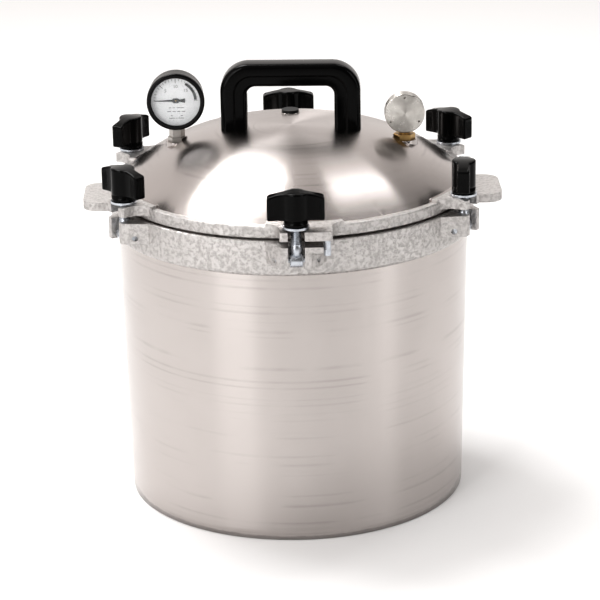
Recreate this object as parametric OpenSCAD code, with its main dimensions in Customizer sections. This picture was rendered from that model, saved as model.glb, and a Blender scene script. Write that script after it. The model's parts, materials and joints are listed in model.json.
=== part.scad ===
// Six-clamp cast aluminium pressure canner.
// Frame: origin on the floor under the middle of the pot, +Z up, the front is -Y,
// and the two cast side grips lie along X.

/* [Pot] */
// Outside radius of the pot wall just under the band
pot_r = 162; // [130:1:200]
// How much smaller the outside radius is at the floor
pot_draft = 5; // [0:0.5:10]
// Height of the pot rim above the floor
rim_z = 287; // [180:1:380]
// Thickness of the cast wall
wall_t = 6.5; // [4:0.5:10]
// Thickness of the pot bottom
floor_t = 7; // [4:0.5:12]
// Outside corner radius at the floor
base_round = 9; // [4:0.5:20]
// Inside corner radius at the floor
well_round = 14; // [8:0.5:25]
// Height of the thick band round the rim
band_h = 32.5; // [28:0.5:45]
// How far the band stands out from the wall
band_proud = 5.5; // [4:0.5:10]
// Radius of the rounded lower edge of the band
band_round = 4; // [1:0.5:5]
// Width of the 45 degree seat inside the rim
seat_w = 5; // [3:0.5:7]

/* [Side grips] */
// How far each cast grip reaches out from the band
grip_reach = 25; // [15:1:40]
// Width of each grip
grip_w = 66; // [40:1:90]
// Thickness of each grip
grip_t = 7.8; // [5:0.2:12]
// Depth of the grip top below the rim
grip_drop = 2; // [0:0.5:10]
// Corner radius of the grip ends
grip_round = 14; // [4:1:20]

/* [Clamp bosses] */
// Distance from the band to the clamp bolt centre lines
bolt_out = 7.5; // [7.5:0.5:14]
// Depth of the hinge pin below the seat on the lid lug
pivot_drop = 29; // [26:0.5:36]
// Half width of a boss at its tip
boss_tip_w = 12.75; // [11:0.25:18]
// Half width of a boss where it meets the band
boss_root_w = 29.5; // [18:0.5:34]
// Distance from bolt centre to the outer face of a boss
boss_out = 9.5; // [8:0.5:14]
// Material under the hinge pin centre
boss_under = 5.2; // [4:0.2:10]
// Width of the bolt slots in pot boss and lid lug
slot_w = 14.5; // [12.5:0.5:18]
// Diameter of the hinge pins
pin_d = 4.76; // [3:0.01:6.5]
// Depth of the pin ends below the boss sides
pin_sunk = 1.4; // [0:0.1:3]

/* [Swing bolts] */
// Thread diameter of the swing bolts
bolt_d = 9.5; // [7:0.1:11]
// Outside diameter of the bolt eye
eye_d = 13; // [10:0.5:13.5]
// Width of the bolt eye
eye_w = 11.7; // [8:0.1:14]
// Diameter of the thick neck above the eye, narrower than the eye
neck_d = 11.1; // [8:0.1:13]
// Height of the thick neck above the hinge pin
neck_h = 11; // [8:0.5:14]
// Length of the bolt that stands above the washer seat
bolt_above = 22.5; // [18:0.5:30]
// Radial running clearance of pins and threads
run_fit = 0.06; // [0.02:0.01:0.1]

/* [Wing nuts] */
// Diameter of the zinc washers
washer_d = 23.5; // [18:0.5:26]
// Thickness of the washers
washer_t = 2; // [1:0.25:3]
// Diameter of the nut hub
hub_d = 21.4; // [17:0.2:26]
// Height of the hub below the wings
hub_under = 5.4; // [3:0.2:10]
// Span of the two wings
wing_span = 50; // [40:1:60]
// Thickness of the wings at their ends
wing_t = 13; // [8:0.5:16]
// Height of the wing ends
wing_h = 20.5; // [14:0.5:28]
// Rise of the arched top in the middle
wing_arch = 4.5; // [1:0.5:8]
// Diameter of the brass insert
insert_d = 13; // [11:0.5:15]
// Length of the brass insert
insert_h = 18; // [10:1:19]

/* [Lid] */
// Open height between pot rim and lid flange
lid_gap = 1.3; // [0.6:0.1:4]
// Clearance measured square to the 45 degree seat
seal_gap = 0.3; // [0.3:0.05:0.6]
// Thickness of the lid flange
flange_h = 10.7; // [8:0.1:16]
// Width of pot rim that shows outside the flange
rim_shelf = 3.2; // [1:0.2:5]
// Width of the flange step outside the dome
flange_step = 6.3; // [4:0.1:12]
// Thickness of the dome
lid_t = 6; // [4:0.5:9]
// Radius of the flatter crown of the dome
crown_r = 600; // [400:10:900]
// Distance from the middle to where crown meets shoulder
crown_w = 60; // [40:1:90]
// Slope of the dome where it meets the flange
edge_slope = 43; // [30:1:60]
// Height of the lug seat above the flange top
lug_up = 2.6; // [0:0.1:5]
// Thickness of the lid lugs
lug_t = 9.6; // [7:0.1:14]
// Half width of the lid lugs
lug_w = 14.7; // [13:0.1:20]
// Reach of the front lug past its slot, on the stop side
stop_lug_w = 31.5; // [30:0.5:36]
// Radius of the flare between flange and lug
lug_flare = 14; // [6:1:18]
// How far the flare runs into the flange, so that it has no feather edge
flare_in = 0.4; // [0.2:0.1:1]
// Clearance round the hex of a fitting in its flat spot
spot_fit = 0.8; // [0.4:0.1:2]
// Width of a fitting boss outside the flat spot
spot_rim = 1; // [0.5:0.1:2]

/* [Lid stop] */
// Diameter of the lid stop pin
stop_d = 6.4; // [4:0.1:8]
// Distance from the front slot to the stop pin
stop_off = 26.8; // [26:0.1:28]
// Length of stop pin below the lug
stop_hang = 15.5; // [10:0.5:18]
// Height of the stop ledge on the front boss
ledge_h = 5.5; // [3:0.5:10]

/* [Lid handle] */
// Overall width of the handle
handle_w = 128; // [100:1:160]
// Height of the handle top above the dome crown
handle_h = 59; // [45:1:80]
// Thickness of the grip bar, top to bottom
bar_h = 21; // [15:0.5:28]
// Width of each leg
leg_w = 24; // [18:0.5:30]
// Depth of the handle, front to back
handle_t = 24; // [18:0.5:32]
// Outer corner radius of the handle
handle_round = 26; // [10:1:35]
// Inner corner radius of the handle
handle_in_round = 8; // [3:1:15]
// Width of the full depth outer zone
handle_rib = 10.5; // [6:0.5:14]
// Depth of the step beside the rib, on each face
handle_step = 1.2; // [0.5:0.1:3]
// Angle of the handle about the pot axis
handle_turn = -3; // [-10:0.5:10]
// Diameter of the handle screws
screw_d = 5; // [4:0.5:6]
// Length of screw in the handle leg
screw_in = 22; // [12:1:26]

/* [Pressure gauge] */
// Distance of the gauge stem from the pot axis
gauge_out = 105; // [90:1:115]
// Direction of the gauge about the pot axis
gauge_turn = 179; // [170:0.5:190]
// Height of the gauge centre above its stem seat
gauge_up = 39.5; // [34:0.5:50]
// Diameter of the bezel
bezel_d = 52.8; // [46:0.2:62]
// Depth of the gauge, back to front
gauge_t = 22; // [20:0.5:30]
// Depth of the bezel ring
bezel_t = 6.5; // [6.5:0.25:9]
// Width of the bezel lip in front of the glass
bezel_lip = 4.1; // [2.5:0.1:5]
// Sheet thickness of the case
case_t = 1.2; // [0.8:0.1:2]
// Flats of the upper stem hex
stem_hex = 12.5; // [10:0.5:16]
// Flats of the lower stem hex
base_hex = 15; // [12:0.5:19]
// Pointer sweep over the whole scale
sweep = 180; // [120:5:270]
// Gear module of the movement
gear_m = 0.3; // [0.25:0.05:0.35]
// Teeth of the pointer pinion
pinion_n = 10; // [9:1:12]
// Teeth of the sector gear on a full circle
sector_n = 80; // [70:10:90]

/* [Vent pipe and weight] */
// Distance of the vent pipe from the pot axis
vent_out = 104; // [90:1:115]
// Direction of the vent pipe about the pot axis
vent_turn = -5; // [-12:0.5:12]
// Diameter of the vent pipe
vent_d = 6; // [5:0.1:7]
// Height of the vent pipe top above its seat
vent_up = 16.5; // [14:0.5:24]
// Flats of the vent pipe hex
vent_hex = 17; // [13:0.5:19]
// Diameter of the pressure regulator weight
weight_d = 36.6; // [32:0.2:44]
// Thickness of the weight
weight_t = 12.5; // [10:0.5:16]
// Radial play of the weight on the vent pipe
weight_play = 0.3; // [0.2:0.05:0.6]
// Depth of the three sockets in the weight rim
socket_deep = 10.5; // [8:0.5:12]
// Gap between the top of the vent pipe and the end of its socket
socket_gap = 0.3; // [0.1:0.1:1]
// Gap between the collar of the vent pipe and the bottom of the weight
collar_gap = 0.6; // [0.3:0.1:1.5]
// Height of the collar above the hex
collar_h = 0.7; // [0.3:0.1:2]

/* [Overpressure plug] */
// Distance of the plug behind the pot axis
plug_out = 50; // [40:1:70]
// Diameter of the plug head
plug_d = 16; // [12:0.5:20]
// Diameter of the plug hole in the lid
plug_hole_d = 10; // [7:0.5:12]
// Width of the plug boss outside the plug head
plug_rim = 1; // [0.5:0.1:3]

/* [Canning rack] */
// Play between the rack and the pot corner
rack_play = 4; // [2:0.5:10]
// Thickness of the rack sheet
rack_t = 2; // [1:0.25:3]
// Height of the rack feet
rack_foot = 12; // [8:0.5:20]
// Diameter of the rack holes
rack_hole = 12; // [6:0.5:14]

/* [Hidden] */
$fn = 96;
e = 0.01;
cast = "#cfccc8";
satin = "#d9d7d3";
black = "#141416";
zinc = "#c6c8ca";
brass = "#c2a25c";

clamp_az = [-90, -30, 30, 90, 150, 210];
wing_az = [0, 84, -45, 0, 60, -50];

base_r = pot_r - pot_draft;
band_r = pot_r + band_proud;
band_z = rim_z - band_h;
rim_in = pot_r - wall_t;
floor_in = base_r - wall_t;
bolt_r = band_r + bolt_out;
boss_r = bolt_r + boss_out;
boss_top = rim_z - 0.5;

flange_z = rim_z + lid_gap;
flange_top = flange_z + flange_h;
flange_r = band_r - rim_shelf;
dome_r = flange_r - flange_step;
skirt_z = rim_z - seat_w + 0.8;
cone_r = rim_in + seat_w - seal_gap * sqrt(2) - rim_z;
skirt_r = cone_r + skirt_z;
skirt_in = skirt_r - lid_t;
seat_z = flange_top + lug_up;
lug_r = boss_r;
lug_z = seat_z - lug_t;
pivot_z = seat_z - pivot_drop;
boss_z = pivot_z - boss_under;

join_a = asin(crown_w / crown_r);
shoulder_r = (dome_r - crown_w) / (sin(edge_slope) - sin(join_a));
shoulder_x = crown_w - shoulder_r * sin(join_a);
shoulder_z = flange_top - shoulder_r * cos(edge_slope);
crown_z = shoulder_z + (shoulder_r - crown_r) * cos(join_a);
apex_z = crown_z + crown_r;

// height of the dome's outer face, or of a face d deeper, at distance x
function dome_z(x, d = 0) = x < crown_w
  ? crown_z + sqrt(pow(crown_r - d, 2) - x * x)
  : shoulder_z + sqrt(pow(shoulder_r - d, 2) - pow(x - shoulder_x, 2));

seat_play = 0.3;
washer_z = pivot_drop + seat_play;
nut_z = washer_z + washer_t;
wing_z = nut_z + hub_under;
wing_top = wing_z + wing_h + wing_arch;
arch_r = (pow(wing_span / 2, 2) + wing_arch * wing_arch) / (2 * wing_arch);
bolt_top = washer_z + bolt_above;

handle_top = apex_z + handle_h;
leg_x = handle_w / 2 - leg_w / 2;
pad_z = dome_z(leg_x + 9, lid_t) - 1;

gauge_seat = dome_z(gauge_out) + 0.6;
gauge_spot = base_hex / sqrt(3) + spot_fit;
gauge_z = gauge_seat + gauge_up;
gauge_front = gauge_t - 8;
case_r = bezel_d / 2 - 1.1;
glass_z = gauge_front - 2.6;
dial_z = gauge_front - bezel_t - 0.9;
pinion_r = gear_m * pinion_n / 2;
sector_r = gear_m * sector_n / 2;
gear_gap = pinion_r + sector_r;

vent_seat = dome_z(vent_out) + 0.6;
vent_spot = vent_hex / sqrt(3) + spot_fit;
socket_r = vent_d / 2 + weight_play;
weight_low = vent_up + socket_gap - socket_deep;
weight_z = vent_seat + weight_low + weight_d / 2;
collar_top = weight_low - collar_gap;
plug_boss_r = plug_d / 2 + plug_rim;
plug_seat = dome_z(plug_out - plug_boss_r) + 0.2;

rack_r = floor_in - rack_play;

// ---------- helpers ----------

// cuts a convex corner at (x, y) to radius r; (dx, dy) points into the solid
module corner_cut(x, y, r, dx, dy) {
  difference() {
    translate([x + (dx < 0 ? -r : -e), y + (dy < 0 ? -r : -e)])
      square(r + e);
    translate([x + dx * r, y + dy * r])
      circle(r);
  }
}

// rectangle with all four corners rounded
module round_rect(w, h, r) {
  difference() {
    square([w, h], center = true);
    for (dx = [-1, 1])
      for (dy = [-1, 1])
        corner_cut(-dx * w / 2, -dy * h / 2, r, dx, dy);
  }
}

// local frame of clamp i: x outward, y along the hinge pin, z up the bolt
module at_clamp(i) {
  rotate([0, 0, clamp_az[i]])
    translate([bolt_r, 0, pivot_z])
      children();
}

// local frame of the gauge: x right, y up, z out of the dial
module at_gauge() {
  translate([gauge_out * cos(gauge_turn), gauge_out * sin(gauge_turn), gauge_z])
    rotate([90, 0, 0])
      children();
}

module hex_bar(flats, h) {
  cylinder(r = flats / sqrt(3), h = h, $fn = 6);
}

// ---------- pot ----------

module pot_profile() {
  difference() {
    union() {
      difference() {
        polygon([[0, 0], [base_r, 0], [pot_r, band_z], [pot_r, rim_z], [0, rim_z]]);
        corner_cut(base_r, 0, base_round, -1, 1);
      }
      difference() {
        translate([rim_in, band_z])
          square([band_r - rim_in, band_h]);
        corner_cut(band_r, band_z, band_round, -1, 1);
        corner_cut(band_r, rim_z, 1.2, -1, -1);
      }
    }
    difference() {
      polygon([[0, floor_t], [floor_in, floor_t], [rim_in, band_z],
        [rim_in, rim_z - seat_w], [rim_in + seat_w, rim_z],
        [rim_in + seat_w, rim_z + 1], [0, rim_z + 1]]);
      corner_cut(floor_in, floor_t, well_round, -1, 1);
    }
  }
}

module boss_plan() {
  polygon([[rim_in + seat_w + 1, -boss_root_w], [boss_r, -boss_tip_w],
    [boss_r, boss_tip_w], [rim_in + seat_w + 1, boss_root_w]]);
}

module grip_plan() {
  difference() {
    translate([0, -grip_w / 2])
      square([band_r + grip_reach, grip_w]);
    corner_cut(band_r + grip_reach, grip_w / 2, grip_round, -1, -1);
    corner_cut(band_r + grip_reach, -grip_w / 2, grip_round, -1, 1);
    circle(rim_in + seat_w + 1);
  }
}

module pot() {
  color(satin)
    difference() {
      union() {
        rotate_extrude()
          pot_profile();
        for (i = [0:5])
          rotate([0, 0, clamp_az[i]])
            translate([0, 0, boss_z])
              linear_extrude(boss_top - boss_z)
                boss_plan();
        for (a = [0, 180])
          rotate([0, 0, a])
            translate([0, 0, rim_z - grip_drop - grip_t])
              linear_extrude(grip_t)
                grip_plan();
        at_clamp(0)
          translate([-bolt_out - 2, boss_tip_w - 1, boss_top - pivot_z - ledge_h])
            cube([bolt_out + 2 + boss_out, stop_off - stop_d / 2 - 0.1 - boss_tip_w + 1, ledge_h]);
      }
      for (i = [0:5])
        at_clamp(i) {
          translate([-bolt_out + 0.1, -slot_w / 2, -boss_under - 1])
            cube([bolt_out + boss_out + 1, slot_w, boss_top - boss_z + 2]);
          rotate([90, 0, 0])
            cylinder(d = pin_d, h = 2 * boss_root_w, center = true);
        }
    }
}

module pivot_pins() {
  w = boss_tip_w + (boss_root_w - boss_tip_w) * boss_out / (boss_r - rim_in - seat_w - 1);
  color(zinc)
    for (i = [0:5])
      at_clamp(i)
        rotate([90, 0, 0])
          cylinder(d = pin_d, h = 2 * (w - pin_sunk), center = true);
}

// ---------- clamps ----------

module swing_bolt(i) {
  color(zinc)
    at_clamp(i)
      difference() {
        union() {
          rotate([90, 0, 0])
            cylinder(d = eye_d, h = eye_w, center = true);
          cylinder(d = neck_d, h = neck_h);
          translate([0, 0, neck_h])
            cylinder(d1 = neck_d, d2 = bolt_d, h = 3);
          cylinder(d = bolt_d, h = bolt_top - 1);
          translate([0, 0, bolt_top - 1])
            cylinder(d1 = bolt_d, d2 = bolt_d - 2, h = 1);
        }
        rotate([90, 0, 0])
          cylinder(d = pin_d + 2 * run_fit, h = eye_w + 2, center = true);
      }
}

module washer(i) {
  color(zinc)
    at_clamp(i)
      translate([0, 0, washer_z])
        difference() {
          cylinder(d = washer_d, h = washer_t);
          translate([0, 0, -1])
            cylinder(d = bolt_d + 0.8, h = washer_t + 2);
        }
}

// plan of the two wings: thick ends that run into the hub with hollow flanks
module wing_plan() {
  flank = 30;
  difference() {
    square([wing_span, wing_t], center = true);
    for (sx = [-1, 1])
      for (sy = [-1, 1])
        translate([sx * (wing_span / 4 + 3.5), sy * (wing_t / 2 + flank - 1.6)])
          circle(flank);
  }
}

module wing_nut(i) {
  color(black)
    at_clamp(i)
      rotate([0, 0, wing_az[i] - clamp_az[i]])
        difference() {
          intersection() {
            union() {
              translate([0, 0, nut_z])
                cylinder(d = hub_d, h = wing_top - nut_z);
              translate([0, 0, wing_z])
                linear_extrude(wing_h + wing_arch)
                  wing_plan();
            }
            translate([0, 0, wing_top - arch_r])
              rotate([90, 0, 0])
                cylinder(r = arch_r, h = hub_d + 10, center = true, $fn = 360);
          }
          translate([0, 0, nut_z - 1])
            cylinder(d = insert_d, h = insert_h + 1);
          translate([0, 0, nut_z])
            cylinder(d = bolt_d + 0.8, h = bolt_top - nut_z + 3);
        }
}

module nut_insert(i) {
  color(brass)
    at_clamp(i)
      translate([0, 0, nut_z])
        difference() {
          cylinder(d = insert_d, h = insert_h);
          translate([0, 0, -1])
            cylinder(d = bolt_d + 2 * run_fit, h = insert_h + 2);
        }
}

// ---------- lid ----------

// everything under the dome face that lies d deeper than the outer face
module under_dome(d, x1, z0) {
  x = crown_w * (crown_r - d) / crown_r;
  intersection() {
    translate([0, crown_z])
      circle(crown_r - d, $fn = 360);
    translate([0, z0])
      square([x, apex_z - z0 + 1]);
  }
  intersection() {
    translate([shoulder_x, shoulder_z])
      circle(shoulder_r - d, $fn = 360);
    translate([x - e, z0])
      square([x1 - x + e, apex_z - z0 + 1]);
  }
}

module lid_profile() {
  difference() {
    under_dome(0, dome_r, flange_top - lid_t);
    under_dome(lid_t, dome_r, flange_top - lid_t - 1);
  }
  difference() {
    polygon([[skirt_in, skirt_z], [skirt_r, skirt_z], [cone_r + flange_z, flange_z],
      [flange_r, flange_z], [flange_r, flange_top], [skirt_in, flange_top]]);
    corner_cut(flange_r, flange_top, 1.5, -1, -1);
    corner_cut(flange_r, flange_z, 1, -1, 1);
  }
}

// flared side of a lug: w is the half width, s the side it is on
module lug_flank(w, s) {
  x = sqrt(pow(flange_r - flare_in + lug_flare, 2) - pow(w + lug_flare, 2));
  difference() {
    polygon([[0, 0], [x, s * (w + lug_flare)], [x, 0]]);
    translate([x, s * (w + lug_flare)])
      circle(lug_flare);
  }
}

module lug_plan(w_left, w_right) {
  difference() {
    union() {
      difference() {
        translate([0, -w_left])
          square([lug_r, w_left + w_right]);
        corner_cut(lug_r, -w_left, 2.5, -1, 1);
        corner_cut(lug_r, w_right, 2.5, -1, -1);
      }
      lug_flank(w_left, -1);
      lug_flank(w_right, 1);
    }
    circle(dome_r - 3);
    translate([bolt_r - 1, 0])
      circle(d = slot_w);
    translate([bolt_r - 1, -slot_w / 2])
      square([30, slot_w]);
  }
}

module lid() {
  color(satin)
    difference() {
      union() {
        rotate_extrude()
          lid_profile();
        for (i = [0:5])
          rotate([0, 0, clamp_az[i]])
            translate([0, 0, lug_z])
              linear_extrude(lug_t)
                lug_plan(lug_w, i == 0 ? stop_lug_w : lug_w);
        fitting_boss(gauge_out, gauge_turn, gauge_seat, gauge_spot + spot_rim);
        fitting_boss(vent_out, vent_turn, vent_seat, vent_spot + spot_rim);
        fitting_boss(plug_out, 90, plug_seat, plug_boss_r);
        for (s = [-1, 1])
          rotate([0, 0, handle_turn])
            translate([s * leg_x, 0, pad_z])
              cylinder(d = 18, h = dome_z(leg_x + 9) - pad_z - 1);
        index_arrow();
      }
      for (i = [0:5])
        at_clamp(i)
          crown_cut();
      fitting_spot(gauge_out, gauge_turn, gauge_seat, gauge_spot);
      fitting_spot(vent_out, vent_turn, vent_seat, vent_spot);
      fitting_hole(gauge_out, gauge_turn, 9.6);
      fitting_hole(vent_out, vent_turn, 9.6);
      fitting_hole(plug_out, 90, plug_hole_d);
      for (s = [-1, 1])
        rotate([0, 0, handle_turn])
          translate([s * leg_x, 0, pad_z - 1])
            cylinder(d = screw_d, h = 20);
      at_clamp(0)
        translate([0, stop_off, lug_z - pivot_z - e])
          cylinder(d = stop_d, h = lug_t - 3);
    }
}

// boss for a fitting, standing clear of the dome on its downhill side
module fitting_boss(x, a, z, r) {
  zb = dome_z(x + r, lid_t) + 0.5;
  rotate([0, 0, a])
    translate([x, 0, zb])
      cylinder(r = r, h = z - zb);
}

// flat spot sunk square into the dome on the uphill side of a fitting
module fitting_spot(x, a, z, r) {
  rotate([0, 0, a])
    translate([x, 0, z])
      cylinder(r = r, h = 20);
}

module fitting_hole(x, a, d) {
  rotate([0, 0, a])
    translate([x, 0, dome_z(x, lid_t) - 15])
      cylinder(d = d, h = 40);
}

// seat that falls away along an arc about the hinge pin, so the washer can swing off
module crown_cut() {
  difference() {
    translate([0, -stop_lug_w - 4, pivot_drop - 4])
      cube([boss_out + 1, 2 * stop_lug_w + 8, 6]);
    rotate([90, 0, 0])
      cylinder(r = pivot_drop, h = 3 * stop_lug_w, center = true, $fn = 360);
  }
}

// raised arrow that lines up with the pot when the lid goes on
module index_arrow() {
  x = dome_r - 7;
  intersection() {
    rotate([0, 0, -61])
      translate([x, 0, flange_top - 2])
        linear_extrude(40)
          polygon([[-6, -1.4], [1, -1.4], [1, -4], [7, 0], [1, 4], [1, 1.4], [-6, 1.4]]);
    rotate_extrude()
      difference() {
        under_dome(-0.8, dome_r + 1, flange_top - 2);
        square([x - 20, 1000]);
      }
  }
}

module stop_pin() {
  color(zinc)
    at_clamp(0)
      translate([0, stop_off, lug_z - pivot_z - stop_hang])
        cylinder(d = stop_d, h = stop_hang + lug_t - 3 - e);
}

// ---------- lid handle ----------

module arch(w, top, bar, leg, r1, r2, low) {
  difference() {
    translate([-w / 2, low])
      square([w, top - low]);
    corner_cut(w / 2, top, r1, -1, -1);
    corner_cut(-w / 2, top, r1, 1, -1);
    difference() {
      translate([-w / 2 + leg, low - 1])
        square([w - 2 * leg, top - bar - low + 1]);
      corner_cut(w / 2 - leg, top - bar, r2, -1, -1);
      corner_cut(-w / 2 + leg, top - bar, r2, 1, -1);
    }
  }
}

module lid_handle() {
  low = dome_z(handle_w / 2) - 12;
  rib_r = max(handle_round - handle_rib, handle_in_round);
  color(black)
    rotate([0, 0, handle_turn])
      difference() {
        rotate([90, 0, 0])
          union() {
            linear_extrude(handle_t, center = true)
              arch(handle_w, handle_top, handle_rib, handle_rib, handle_round, rib_r, low);
            linear_extrude(handle_t - 2 * handle_step, center = true)
              arch(handle_w - 1, handle_top - 0.5, bar_h - 0.5, leg_w - 0.5,
                handle_round, handle_in_round, low);
          }
        rotate_extrude()
          under_dome(-0.05, dome_r, low - 2);
        for (s = [-1, 1])
          translate([s * leg_x, 0, pad_z])
            cylinder(d = screw_d, h = dome_z(leg_x) - pad_z + screw_in);
      }
}

module handle_screws() {
  color(zinc)
    rotate([0, 0, handle_turn])
      for (s = [-1, 1])
        translate([s * leg_x, 0, pad_z - 1.5]) {
          cylinder(d = screw_d, h = 1.5 + dome_z(leg_x) - pad_z + screw_in - 1);
          translate([0, 0, -3.6])
            difference() {
              cylinder(d = 9.5, h = 3.6);
              translate([0, 0, -1])
                hex_bar(4, 3);
            }
        }
}

module handle_washers() {
  color(zinc)
    rotate([0, 0, handle_turn])
      for (s = [-1, 1])
        translate([s * leg_x, 0, pad_z - 1.5])
          difference() {
            cylinder(d = 14, h = 1.5);
            translate([0, 0, -1])
              cylinder(d = screw_d, h = 4);
          }
}

// ---------- pressure gauge ----------

module gauge_stem() {
  case_low = case_r - case_t;
  color(brass)
    at_gauge()
      rotate([-90, 0, 0]) {
        translate([0, 0, -gauge_up])
          hex_bar(base_hex, 4);
        translate([0, 0, -gauge_up])
          hex_bar(stem_hex, gauge_up - case_r - 0.6);
        translate([0, 0, -gauge_up - lid_t - 8])
          cylinder(d = 9.6, h = lid_t + 8);
        translate([0, 0, -case_low - 4])
          cylinder(d = 9, h = 5.5);
        translate([-5, 2.4, -case_low + 1.4])
          cube([10, 4.3, case_low - gear_gap - 3.4]);
      }
}

module gauge_case() {
  color(black)
    at_gauge()
      translate([0, 0, -8])
        difference() {
          cylinder(r = case_r, h = gauge_t - bezel_t + 3);
          translate([0, 0, case_t])
            cylinder(r = case_r - case_t, h = gauge_t);
          translate([0, -case_r, 8])
            rotate([90, 0, 0])
              cylinder(d = 9, h = 10, center = true);
        }
}

module gauge_bezel() {
  z0 = gauge_front - bezel_t;
  color(black)
    at_gauge()
      rotate_extrude()
        difference() {
          translate([0, z0])
            square([bezel_d / 2, bezel_t]);
          translate([-1, z0 - 1])
            square([case_r + 1.02, glass_z + 1.5 - z0 + 1]);
          translate([-1, z0])
            square([bezel_d / 2 - bezel_lip + 1, bezel_t + 1]);
          corner_cut(bezel_d / 2, gauge_front, 1.5, -1, -1);
        }
}

module gauge_glass() {
  color("#dfe8ea")
    at_gauge()
      translate([0, 0, glass_z])
        cylinder(r = case_r - 0.1, h = 1.45);
}

module gauge_dial() {
  color("#f2f2ee")
    at_gauge()
      translate([0, 0, dial_z])
        difference() {
          cylinder(r = case_r - case_t - 0.1, h = 0.6);
          translate([0, 0, -1])
            cylinder(r = 1.2, h = 3);
        }
}

module gauge_pointer() {
  color(black)
    at_gauge()
      translate([0, 0, dial_z + 1.2])
        linear_extrude(0.4)
          difference() {
            polygon([[-20, 0], [-17, 0.35], [-3.4, 0.9], [-2, 2.2], [2, 2.2], [3.4, 0.9],
              [8.5, 2.1], [8.5, -2.1], [3.4, -0.9], [2, -2.2], [-2, -2.2], [-3.4, -0.9],
              [-17, -0.35]]);
            circle(0.7);
          }
}

// involute of the base circle rb at radius r, as the half angle it turns through
function inv(a) = tan(a) * 180 / PI - a;
function flank_a(rp, n, r) = let(rb = rp * cos(20))
  90 / n + inv(20) - inv(acos(min(1, rb / max(r, rb))));

// one gear tooth outline with shortened tip and some backlash, centred on angle 0
function tooth(rp, n, add, ded, back) = let(
  rr = [for (k = [0:4]) rp - ded + (add + ded) * k / 4],
  lo = [for (r = rr) let(a = flank_a(rp, n, r) - back) [r * cos(a), -r * sin(a)]],
  hi = [for (k = [4:-1:0]) [lo[k][0], -lo[k][1]]])
  concat([[0, 0]], lo, hi);

module pointer_arbor() {
  color(brass)
    at_gauge() {
      translate([0, 0, -2.6])
        cylinder(r = 0.7, h = dial_z + 1.2 + 0.6 + 2.6);
      linear_extrude(1.6)
        union() {
          circle(pinion_r - gear_m * 1.15);
          for (k = [0:pinion_n - 1])
            rotate([0, 0, 90 + (k + 0.5) * 360 / pinion_n])
              polygon(tooth(pinion_r, pinion_n, gear_m * 0.75, gear_m * 1.15, 2));
        }
    }
}

sector_half = sweep * pinion_n / sector_n / 2;

fan_lo = -2 * sector_half - 8;
fan_hi = 8;

// toothed fan above the pivot, tail below it, on its own arbor
module sector_plan() {
  step = 360 / sector_n;
  teeth = ceil((2 * sector_half + 10) / step);
  difference() {
    union() {
      difference() {
        circle(sector_r - gear_m * 1.15);
        polygon([[0, 0], 30 * [cos(fan_hi), sin(fan_hi)], [0, 60], [-60, 60],
          [-60, -60], [0, -60], 30 * [cos(fan_lo), sin(fan_lo)]]);
      }
      circle(1.9);
      for (k = [-teeth:teeth])
        if (k * step > fan_lo + 1.5 && k * step < fan_hi - 1.5)
          rotate([0, 0, k * step])
            polygon(tooth(sector_r, sector_n, gear_m * 0.75, gear_m * 1.15, 0.25));
      translate([-6, 0])
        circle(1.1);
      translate([-6, -0.9])
        square([6, 1.8]);
    }
    translate([-6, 0])
      circle(0.5);
  }
}

module sector_gear() {
  color(brass)
    at_gauge()
      translate([0, -gear_gap, 0]) {
        translate([0, 0, -2.4])
          cylinder(r = 0.74, h = 6.2);
        translate([0, 0, 0.2])
          linear_extrude(1.2)
            rotate([0, 0, 90])
              sector_plan();
      }
}

module gauge_link() {
  tip = [15.4, -9.2];
  tail = [0, -gear_gap - 6];
  d = tip - tail;
  a = atan2(d[1], d[0]);
  color(brass)
    at_gauge()
      translate([tail[0], tail[1], 1.7]) {
        rotate([0, 0, a])
          linear_extrude(0.6)
            union() {
              circle(1.1);
              translate([norm(d), 0])
                circle(1.1);
              translate([0, -0.6])
                square([norm(d), 1.2]);
            }
        translate([0, 0, -1.5])
          cylinder(r = 0.42, h = 1.6);
      }
}

module bourdon_tube() {
  color(brass)
    at_gauge() {
      translate([0, 0, -3.2])
        rotate([0, 0, -34])
          rotate_extrude(angle = 298)
            translate([19.4, 0])
              round_rect(2, 6, 0.95);
      translate([0, 0, -0.6])
        rotate([0, 0, -31])
          translate([17.95, -1.5, 0])
            cube([1.2, 3, 2.2]);
    }
}

module movement_plates() {
  color(brass)
    at_gauge() {
      for (z = [-2.4, 3])
        translate([0, 0, z])
          linear_extrude(0.8)
            difference() {
              union() {
                translate([-5, -gear_gap - 4])
                  square([10, gear_gap + 8]);
                translate([-8.5, -gear_gap + 2.5])
                  square([17, 4]);
              }
              circle(0.7 + run_fit);
              translate([0, -gear_gap])
                circle(0.74 + run_fit);
            }
      for (x = [-7, 7])
        translate([x, -gear_gap + 4.5, -2])
          cylinder(r = 1.2, h = 5.4);
    }
}

// flat spiral of spring strip between the arbor and the back plate
module hairspring() {
  turns = 3.5;
  n = 90;
  function sp(k, o) = let(a = 360 * turns * k / n, r = 1.2 + 2.6 * k / n + o)
    [r * cos(a), r * sin(a)];
  color("#a8a49c")
    at_gauge()
      translate([0, 0, 2])
        linear_extrude(0.5)
          polygon(concat([for (k = [0:n]) sp(k, 0)], [for (k = [n:-1:0]) sp(k, 0.14)]));
}

// ---------- vent pipe, weight and plug ----------

module at_vent() {
  rotate([0, 0, vent_turn])
    translate([vent_out, 0, vent_seat])
      rotate([0, 0, -vent_turn])
        children();
}

module vent_pipe() {
  color(brass)
    at_vent()
      difference() {
        union() {
          hex_bar(vent_hex, collar_top - collar_h);
          cylinder(d = 10, h = collar_top);
          cylinder(d = vent_d, h = vent_up);
          translate([0, 0, -lid_t - 8])
            cylinder(d = 9.6, h = lid_t + 8);
        }
        translate([0, 0, -lid_t - 9])
          cylinder(d = 3, h = lid_t + vent_up + 10);
      }
}

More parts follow.
